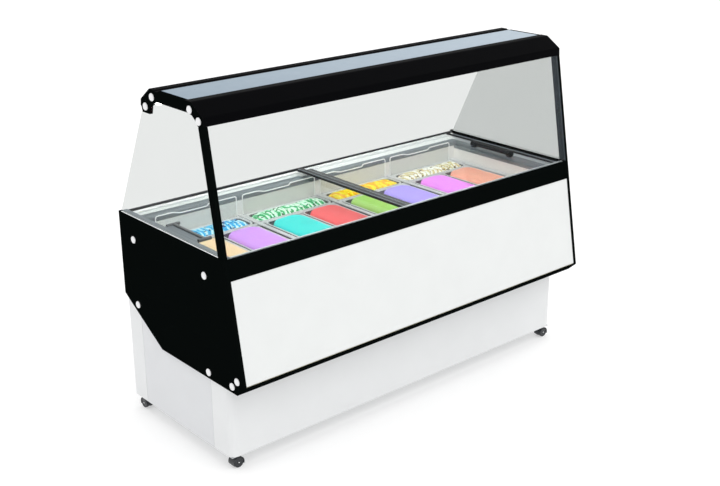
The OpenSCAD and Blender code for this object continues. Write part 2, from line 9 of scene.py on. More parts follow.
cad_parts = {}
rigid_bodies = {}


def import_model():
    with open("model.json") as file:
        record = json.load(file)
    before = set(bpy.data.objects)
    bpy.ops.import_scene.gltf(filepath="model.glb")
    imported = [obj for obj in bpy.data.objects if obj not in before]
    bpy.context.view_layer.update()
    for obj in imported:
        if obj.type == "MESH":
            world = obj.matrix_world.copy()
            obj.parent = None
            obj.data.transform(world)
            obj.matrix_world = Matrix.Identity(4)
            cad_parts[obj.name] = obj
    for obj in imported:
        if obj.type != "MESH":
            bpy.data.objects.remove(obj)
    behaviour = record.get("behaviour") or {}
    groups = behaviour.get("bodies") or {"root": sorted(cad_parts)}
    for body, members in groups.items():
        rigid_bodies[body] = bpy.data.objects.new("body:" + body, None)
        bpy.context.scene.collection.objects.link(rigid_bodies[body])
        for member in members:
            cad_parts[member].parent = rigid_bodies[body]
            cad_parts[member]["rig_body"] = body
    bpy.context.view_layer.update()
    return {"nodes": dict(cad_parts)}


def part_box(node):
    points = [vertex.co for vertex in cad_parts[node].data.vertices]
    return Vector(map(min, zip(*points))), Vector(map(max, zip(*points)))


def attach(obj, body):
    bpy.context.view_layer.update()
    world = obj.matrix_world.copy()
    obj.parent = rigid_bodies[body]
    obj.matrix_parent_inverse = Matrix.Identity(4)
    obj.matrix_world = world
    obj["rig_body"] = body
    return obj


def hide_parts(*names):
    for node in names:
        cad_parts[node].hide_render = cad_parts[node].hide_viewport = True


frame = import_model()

MM = 0.001
WELD = 1e-6
NODES = frame["nodes"]

# ---------------------------------------------------------------- sizes shared with the CAD model
GROUP_PITCH = 372 * MM
GROUP_X = [(i - 1.5) * GROUP_PITCH for i in range(4)]
FRONT_PAN = {"w": 165 * MM, "l": 360 * MM, "y": -20 * MM, "offset": 85.5 * MM}
REAR_PAN = {"w": 350 * MM, "l": 104 * MM, "y": 219 * MM}
PAN_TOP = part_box("front_pans")[1][2]
PAN_DEPTH = 120 * MM
PAN_FLANGE = 9 * MM
PAN_CORNER = 26 * MM
CASTOR_X = 787 * MM
CASTOR_Y = {"front": -228 * MM, "back": 330 * MM}
WHEEL_R = 19 * MM
TRAIL = 8 * MM
COLLAR_HALF = 814 * MM
COLLAR_H = 23 * MM
MOUTH_HALF = 777 * MM
MOUTH_FRONT = -240 * MM
MOUTH_BACK = 293 * MM
LINER_SHEET = 2 * MM
PANEL_FRONT = -277 * MM
PANEL_BACK = 350 * MM

# ---------------------------------------------------------------- small helpers


def link(name, mesh, material):
    """New smooth-shaded object for a mesh, in the scene, with one material."""
    obj = bpy.data.objects.new(name, mesh)
    bpy.context.scene.collection.objects.link(obj)
    mesh.materials.append(material)
    mesh.shade_smooth()
    return obj


def mesh_from(name, verts, faces, material):
    """Object from points and faces, with doubles merged and normals pointing out."""
    bm = bmesh.new()
    made = [bm.verts.new(v) for v in verts]
    for f in faces:
        if len(set(f)) >= 3:
            try:
                bm.faces.new([made[i] for i in f])
            except ValueError:
                pass
    bmesh.ops.remove_doubles(bm, verts=bm.verts, dist=WELD)
    bmesh.ops.recalc_face_normals(bm, faces=bm.faces)
    mesh = bpy.data.meshes.new(name)
    bm.to_mesh(mesh)
    bm.free()
    return link(name, mesh, material)


def sharpen(obj, degrees):
    """Keeps edges steeper than this sharp in the shading."""
    obj.data.set_sharp_from_angle(angle=math.radians(degrees))
    return obj


def rest_on(obj, body, slot, *replaced):
    """Says which body carries a piece and the CAD nodes that it stands for; the slot argument is not used.
    """
    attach(obj, body)
    if replaced:
        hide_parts(*replaced)
    return obj


def joined(name, parts):
    """Joins several mesh objects into one and removes them."""
    bm = bmesh.new()
    materials = []
    for part in parts:
        mesh = part.data
        first = len(bm.faces)
        bm.from_mesh(mesh)
        bm.faces.ensure_lookup_table()
        own = []
        for m in mesh.materials:
            if m not in materials:
                materials.append(m)
            own.append(materials.index(m))
        for f in bm.faces[first:]:
            f.material_index = own[f.material_index]
        bpy.data.objects.remove(part)
    mesh = bpy.data.meshes.new(name)
    bm.to_mesh(mesh)
    bm.free()
    for m in materials:
        mesh.materials.append(m)
    obj = bpy.data.objects.new(name, mesh)
    bpy.context.scene.collection.objects.link(obj)
    return obj


def rounded(node, material, slot, rule, segments=3):
    """Copy of a CAD node with rounded edges; rule(middle, direction, angle) gives each edge's radius."""
    source = NODES[node]
    bm = bmesh.new()
    bm.from_mesh(source.data)
    bmesh.ops.remove_doubles(bm, verts=bm.verts, dist=WELD)
    bmesh.ops.dissolve_limit(bm, angle_limit=math.radians(0.5), verts=bm.verts, edges=bm.edges)
    radii = {}
    for e in bm.edges:
        if len(e.link_faces) == 2:
            angle = e.calc_face_angle(0)
            if angle > math.radians(12):
                middle = (e.verts[0].co + e.verts[1].co) / 2
                direction = (e.verts[1].co - e.verts[0].co).normalized()
                r = rule(middle, direction, math.degrees(angle))
                if r:
                    radii[e.index] = r
    top = max(radii.values(), default=0)
    mesh = bpy.data.meshes.new(node + "_skin")
    layer = bm.edges.layers.float.new("bevel_weight_edge")
    bm.edges.ensure_lookup_table()
    for e in bm.edges:
        e[layer] = radii.get(e.index, 0) / top if top else 0
    bm.to_mesh(mesh)
    bm.free()
    obj = link(mesh.name, mesh, material)
    sharpen(obj, 40)
    if top:
        bevel = obj.modifiers.new("round", "BEVEL")
        bevel.width = top
        bevel.segments = segments
        bevel.limit_method = "WEIGHT"
        bevel.use_clamp_overlap = True
        bevel.harden_normals = True
    rest_on(obj, source["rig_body"], slot, node)
    return obj


def small_edges(radius):
    """Rule that rounds every edge by the same radius."""
    return lambda middle, direction, angle: radius


def steep_edges(radius, degrees):
    """Rule that rounds only the edges that turn by more than an angle."""
    return lambda middle, direction, angle: radius if angle > degrees else 0


def bent_edges(rim, bend):
    """Rule for folded sheet: a small radius on the cut edges and a large one along the folds."""
    return lambda middle, direction, angle: bend if angle < 75 and abs(direction.x) > 0.9 else rim


def lathe(name, profile, material, steps=40):
    """Solid of revolution about Z from points (radius, height)."""
    verts, faces = [], []
    n = len(profile)
    for i in range(steps):
        a = 2 * math.pi * i / steps
        verts += [(r * math.cos(a), r * math.sin(a), z) for r, z in profile]
    for i in range(steps):
        j = (i + 1) % steps
        faces += [(i * n + k, j * n + k, j * n + k + 1, i * n + k + 1) for k in range(n - 1)]
    return mesh_from(name, verts, faces, material)


def arc(cx, cy, r, a0, a1, steps):
    """Points on an arc in degrees."""
    return [
        (cx + r * math.cos(math.radians(a0 + (a1 - a0) * i / steps)),
         cy + r * math.sin(math.radians(a0 + (a1 - a0) * i / steps)))
        for i in range(steps + 1)
    ]


def place(obj, matrix):
    """Moves a piece by changing its mesh, so that its object stays at the origin."""
    obj.data.transform(matrix)
    return obj


def at(x, y, z):
    """Move to a point."""
    return Matrix.Translation((x, y, z))


def turn(degrees, axis):
    """Turn about an axis through the origin."""
    return Matrix.Rotation(math.radians(degrees), 4, axis)


def ring_points(w, l, r, steps=6):
    """Points round a rounded rectangle centred on the origin, anticlockwise."""
    r = min(r, w / 2 - 1e-5, l / 2 - 1e-5)
    points = []
    for cx, cy, a in ((1, 1, 0), (-1, 1, 90), (-1, -1, 180), (1, -1, 270)):
        points += arc(cx * (w / 2 - r), cy * (l / 2 - r), r, a, a + 90, steps)
    return points


def loft(name, rings, material, cap_first=False, cap_last=False):
    """Skin through rings of equal length, each a list of 3-D points."""
    n = len(rings[0])
    verts = [p for ring in rings for p in ring]
    faces = []
    for k in range(len(rings) - 1):
        for i in range(n):
            j = (i + 1) % n
            faces.append((k * n + i, k * n + j, (k + 1) * n + j, (k + 1) * n + i))
    if cap_first:
        faces.append(tuple(range(n))[::-1])
    if cap_last:
        faces.append(tuple((len(rings) - 1) * n + i for i in range(n)))
    return mesh_from(name, verts, faces, material)


def sweep(name, points, radius, material, sides):
    """Round bar along points, with its ends closed."""
    points = [Vector(p) for p in points]
    count = len(points)
    rings = []
    up = Vector((0, 0, 1))
    for i, p in enumerate(points):
        before = points[i - 1] if i else p
        after = points[i + 1] if i < count - 1 else p
        along = (after - before).normalized()
        side = along.cross(up)
        if side.length < 1e-4:
            side = along.cross(Vector((0, 1, 0)))
        side.normalize()
        top = side.cross(along)
        angles = [2 * math.pi * k / sides for k in range(sides)]
        rings.append([p + radius * (math.cos(a) * side + math.sin(a) * top) for a in angles])
    return loft(name, rings, material, cap_first=True, cap_last=True)


# ---------------------------------------------------------------- materials


class Nodes:
    """Short way to build one node material."""

    def __init__(self, name):
        self.material = bpy.data.materials.new(name)
        self.material.use_nodes = True
        self.tree = self.material.node_tree
        self.shader = self.tree.nodes["Principled BSDF"]
        self.output = self.tree.nodes["Material Output"]
        self.place = self.add("ShaderNodeTexCoord").outputs["Object"]

    def add(self, kind, **values):
        node = self.tree.nodes.new(kind)
        for key, value in values.items():
            if hasattr(node, key):
                setattr(node, key, value)
            else:
                node.inputs[key.replace("_", " ")].default_value = value
        return node

    def join(self, source, target):
        self.tree.links.new(source, target)

    def feed(self, **sources):
        for key, source in sources.items():
            self.join(source, self.shader.inputs[key.replace("_", " ")])

    def axis(self, source, letter):
        node = self.add("ShaderNodeSeparateXYZ")
        self.join(source, node.inputs[0])
        return node.outputs[letter]

    def noise(self, scale, detail, roughness=0.5, stretch=None):
        node = self.add("ShaderNodeTexNoise", Scale=scale, Detail=detail, Roughness=roughness)
        source = self.place
        if stretch:
            mapping = self.add("ShaderNodeMapping")
            mapping.inputs["Scale"].default_value = stretch
            self.join(source, mapping.inputs["Vector"])
            source = mapping.outputs[0]
        self.join(source, node.inputs["Vector"])
        return node.outputs["Fac"]

    def ramp(self, source, stops):
        node = self.add("ShaderNodeValToRGB")
        elements = node.color_ramp.elements
        while len(elements) < len(stops):
            elements.new(0.5)
        for element, (position, colour) in zip(elements, stops):
            element.position = position
            element.color = (*colour, 1)
        self.join(source, node.inputs["Fac"])
        return node.outputs["Color"]

    def range(self, source, low, high, from_low=0.0, from_high=1.0):
        node = self.add("ShaderNodeMapRange")
        for key, value in (("From Min", from_low), ("From Max", from_high), ("To Min", low),
                           ("To Max", high)):
            node.inputs[key].default_value = value
        self.join(source, node.inputs["Value"])
        return node.outputs["Result"]

    def mix(self, factor, a, b):
        node = self.add("ShaderNodeMix", data_type="RGBA")
        for value, index in ((factor, 0), (a, 6), (b, 7)):
            if hasattr(value, "links"):
                self.join(value, node.inputs[index])
            else:
                node.inputs[index].default_value = value if index == 0 else (*value, 1)
        return node.outputs[2]

    def math(self, operation, a, b):
        node = self.add("ShaderNodeMath", operation=operation)
        for value, index in ((a, 0), (b, 1)):
            if hasattr(value, "links"):
                self.join(value, node.inputs[index])
            else:
                node.inputs[index].default_value = value
        return node.outputs[0]

    def bump(self, height, strength, distance):
        node = self.add("ShaderNodeBump", Strength=strength, Distance=distance)
        self.join(height, node.inputs["Height"])
        self.join(node.outputs["Normal"], self.shader.inputs["Normal"])

    def set(self, **values):
        for key, value in values.items():
            self.shader.inputs[key.replace("_", " ")].default_value = value


def shade(colour, factor):
    """Lighter or darker version of a colour."""
    return tuple(min(1.0, c * factor) for c in colour)


def coated(name, colour, rough, peel=0.12, gloss=0.5):
    """Powder coat or enamel: faint mottling, hand smudges in the gloss and orange peel."""
    n = Nodes(name)
    base = n.ramp(n.noise(9.0, 4.0), [(0.3, shade(colour, 0.985)), (0.7, shade(colour, 1.01))])
    n.feed(Base_Color=base)
    n.feed(Roughness=n.range(n.noise(14.0, 5.0, 0.6), rough * 0.85, rough * 1.18))
    n.bump(n.noise(700.0, 2.0), peel, 0.0004)
    n.set(Specular_IOR_Level=gloss)
    return n.material


def strip_with_painted_reflection(name, left, right, rough):
    """Opal strip, darker at the left end and lighter at the right end as a painted reflection, with faint
    dust.
    """
    n = Nodes(name)
    along = n.range(n.axis(n.place, "X"), 0.0, 1.0, -0.83, 0.83)
    uneven = n.math("ADD", along, n.math("MULTIPLY", n.noise(5.0, 4.0), 0.12))
    n.feed(Base_Color=n.ramp(uneven, [(0.06, left), (1.0, right)]))
    n.feed(Roughness=n.range(n.noise(40.0, 4.0), rough * 0.8, rough * 1.3))
    n.bump(n.noise(300.0, 2.0), 0.03, 0.0003)
    n.set(Specular_IOR_Level=0.2)
    return n.material


def brushed(name, colour, rough, along="x"):
    """Brushed metal with its grain along X or Y."""
    n = Nodes(name)
    stretch = (1.0, 60.0, 60.0) if along == "x" else (60.0, 1.0, 60.0)
    lines = n.noise(18.0, 5.0, 0.65, stretch)
    cloud = n.noise(6.0, 4.0)
    base = n.ramp(n.math("ADD", n.math("MULTIPLY", lines, 0.55), n.math("MULTIPLY", cloud, 0.45)),
                  [(0.3, shade(colour, 0.904)), (0.7, shade(colour, 1.06))])
    n.feed(Base_Color=base)
    n.feed(Roughness=n.range(lines, rough * 0.75, rough * 1.3))
    n.bump(lines, 0.12, 0.0004)
    n.set(Metallic=1.0)
    return n.material


def satin(name, colour, rough, metal=0.5):
    """Fine-ground metal that scatters most of its light, with long faint grinding lines."""
    n = Nodes(name)
    lines = n.noise(26.0, 4.0, 0.6, (1.0, 40.0, 40.0))
    base = n.ramp(lines, [(0.3, shade(colour, 0.93)), (0.7, shade(colour, 1.05))])
    n.feed(Base_Color=base)
    n.feed(Roughness=n.range(n.noise(11.0, 4.0), rough * 0.85, rough * 1.15))
    n.bump(lines, 0.06, 0.0003)
    n.set(Metallic=metal)
    return n.material


def moulded(name, colour, rough, grain=260.0, strength=0.18, gloss=0.5):
    """Fine-grained moulded plastic or rubber."""
    n = Nodes(name)
    base = n.ramp(n.noise(12.0, 4.0), [(0.3, shade(colour, 0.9)), (0.7, shade(colour, 1.1))])
    n.feed(Base_Color=base)
    n.feed(Roughness=n.range(n.noise(30.0, 3.0), rough * 0.85, rough * 1.15))
    cell = n.add("ShaderNodeTexVoronoi", Scale=grain)
    n.join(n.place, cell.inputs["Vector"])
    n.bump(cell.outputs["Distance"], strength, 0.0003)
    n.set(Specular_IOR_Level=gloss)
    return n.material


def clear(name, tint):
    """Clear sheet that lets the lamps' light through, with faint wiping marks in its gloss."""
    n = Nodes(name)
    n.set(Transmission_Weight=1.0, IOR=1.09)
    base = n.ramp(n.noise(3.0, 3.0), [(0.3, shade(tint, 0.992)), (0.7, tint)])
    n.feed(Base_Color=base)
    smear = n.noise(7.0, 6.0, 0.7, (1.0, 1.0, 3.0))
    n.feed(Roughness=n.range(smear, 0.0, 0.003, 0.5, 0.9))
    through = n.add("ShaderNodeBsdfTransparent", Color=(0.93, 0.95, 0.94, 1))
    path = n.add("ShaderNodeLightPath")
    mix = n.add("ShaderNodeMixShader")
    n.join(n.math("MAXIMUM", path.outputs["Is Shadow Ray"], path.outputs["Is Diffuse Ray"]), mix.inputs[0])
    n.join(n.shader.outputs[0], mix.inputs[1])
    n.join(through.outputs[0], mix.inputs[2])
    n.join(mix.outputs[0], n.output.inputs["Surface"])
    return n.material


def glowing(material, colour, strength):
    """Adds an even glow to a material."""
    shader = material.node_tree.nodes["Principled BSDF"]
    shader.inputs["Emission Color"].default_value = (*colour, 1)
    shader.inputs["Emission Strength"].default_value = strength
    return material


def pan_metal(name, bright, dark):
    """Pressed steel, bright at the flange, with painted shade that makes it darker down inside the pan."""
    n = Nodes(name)
    lines = n.noise(26.0, 4.0, 0.6, (1.0, 40.0, 40.0))
    rim = n.ramp(lines, [(0.3, shade(bright, 0.93)), (0.7, shade(bright, 1.05))])
    # painted shade: below the rim the colour blends into the dark one
    inside_shade = n.range(n.axis(n.place, "Z"), 1.0, 0.0, PAN_TOP - 4 * MM, PAN_TOP - 0.6 * MM)
    n.feed(Base_Color=n.mix(inside_shade, rim, dark))
    n.feed(Roughness=n.range(n.noise(11.0, 4.0), 0.3, 0.42))
    n.bump(lines, 0.06, 0.0003)
    n.set(Metallic=0.3)
    return n.material


def black_with_painted_sheen(name, inner):
    """Black coat with a painted sheen: a little lighter on the faces turned towards the middle of the
    freezer.
    """
    n = Nodes(name)
    facing = n.add("ShaderNodeNewGeometry").outputs["True Normal"]
    inward = n.math("MULTIPLY", n.axis(facing, "X"), n.axis(n.place, "X"))
    mottling = n.math("MULTIPLY", n.noise(9.0, 4.0), 0.06)
    sheen_tone = n.math("ADD", n.range(inward, 1.0, 0.0, -0.75, -0.45), mottling)
    n.feed(Base_Color=n.ramp(sheen_tone, [(0.1, (0.0022, 0.0031, 0.0029)), (0.95, inner)]))
    n.feed(Roughness=n.range(n.noise(14.0, 5.0, 0.6), 0.5, 0.7))
    n.bump(n.noise(700.0, 2.0), 0.12, 0.0004)
    n.set(Specular_IOR_Level=0.0)
    return n.material


def painted_glow(n, base, strength):
    """Painted glow: the material gives off a little of its own colour, though it is no lamp."""
    n.feed(Emission_Color=base)
    n.set(Emission_Strength=strength)


def creamy(name, colour):
    """Scooped ice cream: soft mottling, ice crystals, a little subsurface scattering and a painted glow of
    its own colour.
    """
    n = Nodes(name)
    cloud = n.noise(22.0, 5.0, 0.6)
    streak = n.noise(9.0, 3.0, 0.5, (3.0, 1.0, 3.0))
    blend = n.math("ADD", n.math("MULTIPLY", cloud, 0.4), n.math("MULTIPLY", streak, 0.6))
    base = n.ramp(blend, [(0.3, shade(colour, 0.88)), (0.5, colour)])
    n.feed(Base_Color=base)
    n.feed(Roughness=n.range(n.noise(90.0, 4.0), 0.336, 0.546))
    grit = n.math("ADD", n.noise(420.0, 3.0), n.math("MULTIPLY", n.noise(90.0, 4.0), 1.6))
    n.bump(grit, 0.35, 0.0009)
    n.set(Subsurface_Weight=0.18, Subsurface_Scale=0.006, Specular_IOR_Level=0.15)
    painted_glow(n, base, 0.29)
    return n.material


def rippled(name, centre, lit_and_shaded_tones, spot, scale):
    """Worked ice cream: arcs of three tones round a centre, with a few dark spots and a painted glow; the
    arcs follow the bump, with the flavour's colour in the middle tone, painted shade in the darker one and
    painted highlight in the lighter one.
    """
    n = Nodes(name)
    shift = n.add("ShaderNodeMapping")
    shift.inputs["Location"].default_value = (-centre[0], -centre[1], 0)
    n.join(n.place, shift.inputs["Vector"])
    arcs = n.add("ShaderNodeTexWave", wave_type="RINGS", rings_direction="Z", Scale=scale, Distortion=6.5,
                 Detail=4.0, Detail_Scale=1.6)
    n.join(shift.outputs[0], arcs.inputs["Vector"])
    base = n.ramp(arcs.outputs["Fac"], list(zip((0.12, 0.45, 0.8), lit_and_shaded_tones)))
    if spot:
        dots = n.noise(55.0, 2.0, 0.5, (1.0, 1.6, 1.6))
        base = n.mix(n.range(dots, 0.0, 1.0, 0.6, 0.62), base, spot)
    n.feed(Base_Color=base)
    n.feed(Roughness=n.range(n.noise(70.0, 4.0), 0.25, 0.5))
    n.bump(n.math("ADD", n.math("MULTIPLY", arcs.outputs["Fac"], 0.8), n.noise(220.0, 4.0)), 0.4, 0.0012)
    n.set(Subsurface_Weight=0.15, Subsurface_Scale=0.005, Specular_IOR_Level=0.2)
    painted_glow(n, base, 0.3)
    return n.material


BLACK = coated("black_coat", (0.0022, 0.0031, 0.0029), 0.6, gloss=0.0)
# posts: black coat with a painted sheen on their inward faces
POST_BLACK_SHEENED = black_with_painted_sheen("post_coat", (0.05, 0.058, 0.066))
HOOD_BLACK = coated("hood_coat", (0.002, 0.0021, 0.0026), 0.5, gloss=0.01)
WHITE = coated("white_coat", (0.74, 0.75, 0.755), 0.5, peel=0.06, gloss=0.25)
# the cabinet's white coat darkened for the side panels: painted shade
WHITE_SIDE_SHADED = coated("white_coat_shaded_side", (0.675, 0.685, 0.7), 0.5, peel=0.06, gloss=0.25)
WHITE_GLOSS = coated("white_enamel", (0.73, 0.745, 0.738), 0.3, peel=0.03, gloss=0.3)
STEEL = satin("collar_steel", (0.62, 0.66, 0.69), 0.38)
# the collar steel darkened: painted shade
SHADED_STEEL = satin("steel_painted_shade", (0.2, 0.235, 0.26), 0.45, 0.2)
# the collar steel lightened and glowing: painted highlight
PAINTED_HIGHLIGHT_STEEL = glowing(satin("steel_painted_highlight", (0.92, 0.93, 0.94), 0.3, 0.15), (1.0, 1.0, 1.0), 0.16)
LEDGE = satin("ledge_steel", (0.2, 0.235, 0.26), 0.45, 0.2)
SEAL = coated("glass_seal", (0.84, 0.86, 0.87), 0.3, peel=0.02)
PAN_STEEL = satin("pan_steel", (0.8, 0.81, 0.83), 0.36, 0.45)
PAN_METAL_SHADED = pan_metal("pan_metal", (0.8, 0.81, 0.83), (0.13, 0.125, 0.14))
GALVANISED = brushed("galvanised", (0.5, 0.52, 0.53), 0.42)
ALUMINIUM = brushed("aluminium", (0.72, 0.74, 0.75), 0.3, along="y")
RAIL = moulded("rail_plastic", (0.02, 0.022, 0.025), 0.4, gloss=0.3)
DARK = moulded("dark_plastic", (0.022, 0.024, 0.026), 0.5)
HANDLE = moulded("handle_pale", (0.14, 0.148, 0.156), 0.36, 400.0, 0.08, 0.3)
GRIP = moulded("handle_plastic", (0.012, 0.014, 0.016), 0.4, 400.0, 0.08, 0.15)
CASTOR = moulded("castor_nylon", (0.014, 0.017, 0.021), 0.26, 500.0, 0.06)
HUB = brushed("hub_metal", (0.9, 0.91, 0.92), 0.22)
CAP_WHITE = coated("cap_plastic", (0.8, 0.8, 0.81), 0.3, peel=0.03)
# liner with a painted glow that brightens the well's walls
LINER_PAINTED_GLOW = glowing(coated("liner_coat_painted_glow", (0.62, 0.605, 0.59), 0.45, peel=0.06, gloss=0.2),
                (1.0, 0.975, 0.945), 0.34)
FOAM = moulded("foam", (0.78, 0.7, 0.45), 0.9, 90.0, 0.5)
COPPER = brushed("copper", (0.72, 0.36, 0.2), 0.35)
GREEN = moulded("switch_green", (0.03, 0.3, 0.1), 0.3)
TUBE = moulded("drain_tube", (0.7, 0.7, 0.68), 0.5)
GLASS = clear("clear_glass", (0.69, 0.705, 0.697))
SIDE_GLASS = clear("side_glass", (0.69, 0.705, 0.697))
LID_GLASS = clear("lid_glass", (0.955, 0.965, 0.96))
GUARD = clear("guard_acrylic", (0.93, 0.935, 0.925))
# white glowing tubes for the guards' edges: painted highlight
GUARD_EDGE_HIGHLIGHT = glowing(coated("guard_edge", (0.9, 0.91, 0.9), 0.3, peel=0.02), (1.0, 1.0, 1.0), 0.35)
# canopy strip with a painted reflection: darker at the left, lighter at the right
STRIP = strip_with_painted_reflection("top_strip", (0.21, 0.29, 0.365), (0.36, 0.45, 0.53), 0.3)
LAMP = glowing(coated("lamp_opal", (0.88, 0.88, 0.86), 0.5, peel=0.03), (1.0, 0.98, 0.95), 26.0)

# ---------------------------------------------------------------- carried-over CAD nodes that stay

for node, material in {
    "foam_body": FOAM, "evaporator_coil": COPPER, "cabinet_floor": GALVANISED, "compressor": BLACK,
    "condenser": ALUMINIUM, "fan_shroud": GALVANISED, "fan_rotor": DARK, "drain_pipe": TUBE,
    "castor_plates": GALVANISED, "pan_rails": PAN_STEEL,
}.items():
    NODES[node].data.materials.clear()
    NODES[node].data.materials.append(material)

# ---------------------------------------------------------------- cabinet and panels

rounded("cabinet_front_wrap", WHITE, "white_coated", steep_edges(0.7 * MM, 60))
for side in ("left", "right"):
    rounded("cabinet_side_" + side, WHITE_SIDE_SHADED, "white_coated", small_edges(0.7 * MM))
    rounded("side_panel_" + side, BLACK, "black_coated", small_edges(1.4 * MM))
    rounded("post_" + side, POST_BLACK_SHEENED, "black_coated", small_edges(1.6 * MM))
    rounded("canopy_end_" + side, BLACK, "black_coated", small_edges(1.2 * MM))
    rounded("side_glass_" + side, SIDE_GLASS, "glass", small_edges(0.9 * MM), segments=2)
rounded("cabinet_back", WHITE, "white_coated", steep_edges(0.6 * MM, 60))
rounded("inner_liner", LINER_PAINTED_GLOW, "liner", small_edges(0.8 * MM))
rounded("front_band", BLACK, "black_coated", small_edges(1.0 * MM))
rounded("front_panel", WHITE_GLOSS, "white_gloss", small_edges(0.8 * MM))
rounded("bottom_trim", BLACK, "black_coated", bent_edges(0.6 * MM, 1.6 * MM))
rounded("canopy_hood", HOOD_BLACK, "black_coated", bent_edges(0.7 * MM, 5 * MM), segments=5)
rounded("canopy_rear_rail", HOOD_BLACK, "black_coated", bent_edges(0.7 * MM, 3 * MM), segments=4)
rounded("canopy_top_glass", STRIP, "top_strip", small_edges(0.8 * MM))
rounded("led_lamp", LAMP, "lamp_white", small_edges(2 * MM))
rounded("front_glass", GLASS, "glass", small_edges(0.9 * MM), segments=2)
rounded("rail_front", STEEL, "steel", small_edges(0.35 * MM))
rounded("vent_grille", DARK, "dark_plastic", small_edges(0.5 * MM))
rounded("control_box", DARK, "dark_plastic", small_edges(0.8 * MM))
rounded("thermostat_knob", DARK, "dark_plastic", small_edges(0.6 * MM))
rounded("power_switch", GREEN, "switch_green", small_edges(1.2 * MM))
rounded("cable_inlet", DARK, "dark_plastic", small_edges(0.8 * MM))


def mouth_edge():
    """Points round the collar's mouth: place, direction into the mouth, roll radius and outer edge."""
    (_, y0, _), (_, y1, _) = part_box("top_collar")
    x0, x1 = -COLLAR_HALF, COLLAR_HALF
    half, front, back, r = MOUTH_HALF, MOUTH_FRONT, MOUTH_BACK, 14 * MM
    broad, narrow = 13 * MM, 2 * MM
    points = []
    for cx, cy, a0, corner in (
        (half - r, back - r, 0, (x1, y1)), (r - half, back - r, 90, (x0, y1)),
        (r - half, front + r, 180, (x0, y0)), (half - r, front + r, 270, (x1, y0)),
    ):
        for k in range(7):
            a = math.radians(a0 + 15 * k)
            share = math.sin(a) if math.sin(a) > 0 and cy > 0 else 0
            roll = narrow + (broad - narrow) * max(0.0, (share - 0.35) / 0.65)
            out = corner if 0 < k < 6 else None
            px, py = cx + r * math.cos(a), cy + r * math.sin(a)
            if k == 0:
                out = (corner[0], py) if a0 in (0, 180) else (px, corner[1])
            if k == 6:
                out = (px, corner[1]) if a0 in (0, 180) else (corner[0], py)
            points.append(((px, py), (-math.cos(a), -math.sin(a)), roll, out))
    return points


def collar_piece():
    """Pressed steel collar: flat rim, a broad roll along the back of the mouth and a short skirt; the faces
    inside the mouth get darkened steel as painted shade and the faces along the back a glowing light steel
    as painted highlight.
    """
    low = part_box("top_collar")[0][2]
    top = low + COLLAR_H
    edge = mouth_edge()
    turn_steps, sheet = 4, 1.2 * MM
    rings = [[(*out, low) for _, _, _, out in edge], [(*out, top - 1 * MM) for _, _, _, out in edge],
             [(out[0] * 0.999, out[1] * 0.998, top) for _, _, _, out in edge]]
    for k in range(turn_steps + 1):
        ring = []
        for (px, py), (nx, ny), roll, _ in edge:
            share = k / turn_steps
            soft = 0.12 * roll * math.sin(math.pi * share)
            back = roll * (1 - share) - soft
            ring.append((px - nx * back, py - ny * back, top - 0.85 * roll * share + soft))
        rings.append(ring)
    rings.append([(px, py, low + sheet) for (px, py), _, _, _ in edge])
    rings.append([(px - nx * sheet, py - ny * sheet, low) for (px, py), (nx, ny), _, _ in edge])
    rings.append(rings[0])
    obj = loft("collar_ring", rings, STEEL)
    obj.data.materials.append(SHADED_STEEL)
    obj.data.materials.append(PAINTED_HIGHLIGHT_STEEL)
    # faces inside the mouth: darkened steel as painted shade; faces along the back: glowing steel as
    # painted highlight
    for face in obj.data.polygons:
        middle = face.center
        inside = abs(middle.x) < 800 * MM and -260 * MM < middle.y < MOUTH_BACK + 25 * MM
        if inside and middle.z < top - 0.5 * MM:
            face.material_index = 1
        elif middle.y > MOUTH_BACK + 10 * MM:
            face.material_index = 2
    return joined("top_collar_pressed", [obj] + collar_ends())


def collar_ends():
    """Turned-up ends of the collar; the left one is folded level over its side panel."""
    (x0, _, _), (_, _, ledge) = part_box("top_collar")
    behind_post = -254 * MM
    base, lip, well = ledge - 27 * MM, ledge - 14 * MM, -800 * MM
    outer, inner, soft = COLLAR_HALF, COLLAR_HALF - 2 * MM, 0.6 * MM
    right = [(inner, base), (inner, lip - soft), (inner + soft, lip), (outer - soft, lip),
             (outer, lip - soft), (outer, base)]
    # the right end in darkened steel: painted shade
    parts = [loft("end_right", [[(x, y, z) for x, z in right] for y in (PANEL_FRONT, PANEL_BACK)],
                  SHADED_STEEL, True, True)]
    low = ledge - 1.8 * MM
    for name, edge, y0, y1 in (("end_front", -outer - 1.5 * MM, PANEL_FRONT, behind_post),
                               ("end_left", x0, behind_post, PANEL_BACK)):
        left = [(-outer, base), (-inner, base), (-inner, low), (well, low),
                (well + 0.4 * MM, low + 0.9 * MM), (well, ledge), (edge + soft, ledge),
                (edge, ledge - soft), (edge, low), (-outer, low)]
        parts.append(loft(name, [[(x, y, z) for x, z in left] for y in (y0, y1)], LEDGE, True, True))
    return parts


def slab(name, low, high, material):
    """Plain box between two corners."""
    (x0, y0, z0), (x1, y1, z1) = low, high
    rings = [[(x0, y0, z), (x1, y0, z), (x1, y1, z), (x0, y1, z)] for z in (z0, z1)]
    return loft(name, rings, material, True, True)


